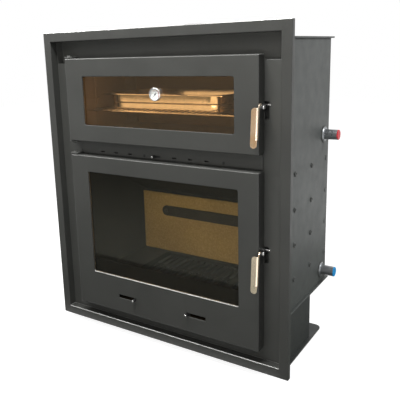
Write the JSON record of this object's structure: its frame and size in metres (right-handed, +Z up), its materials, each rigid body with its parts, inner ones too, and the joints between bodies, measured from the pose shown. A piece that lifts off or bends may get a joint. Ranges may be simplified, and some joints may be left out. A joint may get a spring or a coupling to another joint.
{
  "type": "boiler fireplace",
  "caption": "Boiler fireplace with an oven over the firebox, glazed doors, flat front frame and side water pipes.",
  "frame": {"origin": "centre of the base plate's underside", "axes": "+X to the right seen from the front, +Y to the back, +Z up"},
  "size_m": [0.9234, 0.4717, 1.075],
  "materials": {
    "anthracite_paint": "matte",
    "bare_steel": "satin",
    "firebox_lining": "matte",
    "cast_iron": "matte",
    "stainless": "satin",
    "oven_enamel": "satin",
    "rack_wire": "polished",
    "stove_glass": "polished",
    "rope_seal": "matte",
    "dial_face": "satin",
    "needle_black": "matte",
    "red_plastic": "gloss",
    "blue_plastic": "gloss"
  },
  "bodies": {
    "boiler": {"base_plate": "anthracite_paint", "base_box": "anthracite_paint", "outer_shell": "anthracite_paint", "lid_plate": "anthracite_paint", "bottom_flange": "anthracite_paint", "firebox_shell": "bare_steel", "side_stays": "bare_steel", "rear_stays": "bare_steel", "water_tubes": "bare_steel", "back_plate": "firebox_lining", "back_strap": "bare_steel", "baffle_plate": "bare_steel", "grate": "cast_iron", "log_guard": "cast_iron", "ash_pan": "bare_steel", "face_plate": "anthracite_paint", "fire_mouth_rim": "anthracite_paint", "oven_mouth_rim": "anthracite_paint", "latch_pockets": "anthracite_paint", "keeper_pins": "stainless", "frame_surround": "anthracite_paint", "top_recess_panel": "anthracite_paint", "cross_plate": "anthracite_paint", "fixing_screws": "stainless", "oven_liner": "oven_enamel", "rack_guides": "rack_wire", "oven_rack": "rack_wire", "baking_tray": "stainless", "hinge_lugs": "anthracite_paint", "hinge_pins": "stainless", "flue_collar": "anthracite_paint", "hot_pipe": "anthracite_paint", "return_pipe": "anthracite_paint", "hot_cap": "red_plastic", "return_cap": "blue_plastic"},
    "oven_door": {"oven_door_shell": "anthracite_paint", "oven_door_rope": "rope_seal", "oven_glass": "stove_glass", "oven_glass_seal": "rope_seal", "oven_glass_clips": "bare_steel", "oven_handle_bolt": "stainless", "thermometer_case": "stainless", "thermometer_dial": "dial_face", "thermometer_lens": "stove_glass", "thermometer_nut": "stainless"},
    "thermometer_pointer": {"thermometer_needle": "needle_black"},
    "oven_handle": {"oven_handle_lever": "anthracite_paint", "oven_handle_grip": "stainless"},
    "fire_door": {"fire_door_shell": "anthracite_paint", "fire_door_rope": "rope_seal", "fire_glass": "stove_glass", "fire_glass_seal": "rope_seal", "fire_glass_clips": "bare_steel", "fire_handle_bolt": "stainless", "air_slider_rails": "bare_steel"},
    "fire_handle": {"fire_handle_lever": "anthracite_paint", "fire_handle_grip": "stainless"},
    "left_air_slide": {"left_air_slider": "bare_steel"},
    "right_air_slide": {"right_air_slider": "bare_steel"},
    "secondary_air_slide": {"secondary_air_slider": "bare_steel"}
  },
  "joints": [
    {"name": "oven_door_hinge", "type": "hinge", "parent": "boiler", "child": "oven_door", "pos_m": [-0.346, -0.221, 0.834], "axis": [0, 0, -1], "range_deg": [0, 150]},
    {"name": "fire_door_hinge", "type": "hinge", "parent": "boiler", "child": "fire_door", "pos_m": [-0.346, -0.221, 0.3685], "axis": [0, 0, -1], "range_deg": [0, 150]},
    {"name": "oven_handle_pivot", "type": "hinge", "parent": "oven_door", "child": "oven_handle", "pos_m": [0.3685, -0.217, 0.829], "axis": [-1, 0, 0], "range_deg": [-8, 45]},
    {"name": "fire_handle_pivot", "type": "hinge", "parent": "fire_door", "child": "fire_handle", "pos_m": [0.3685, -0.217, 0.402], "axis": [-1, 0, 0], "range_deg": [-8, 45]},
    {"name": "left_air_slide", "type": "slide", "parent": "fire_door", "child": "left_air_slide", "axis": [-1, 0, 0], "range_m": [0, 0.062]},
    {"name": "right_air_slide", "type": "slide", "parent": "fire_door", "child": "right_air_slide", "axis": [1, 0, 0], "range_m": [0, 0.062]},
    {"name": "secondary_air_slide", "type": "slide", "parent": "boiler", "child": "secondary_air_slide", "axis": [1, 0, 0], "range_m": [0, 0.02]},
    {"name": "thermometer_spindle", "type": "hinge", "parent": "oven_door", "child": "thermometer_pointer", "pos_m": [0.018, -0.234, 0.86], "axis": [0, 1, 0], "range_deg": [0, 270], "stiffness_Nm_per_rad": 0.0001}
  ]
}
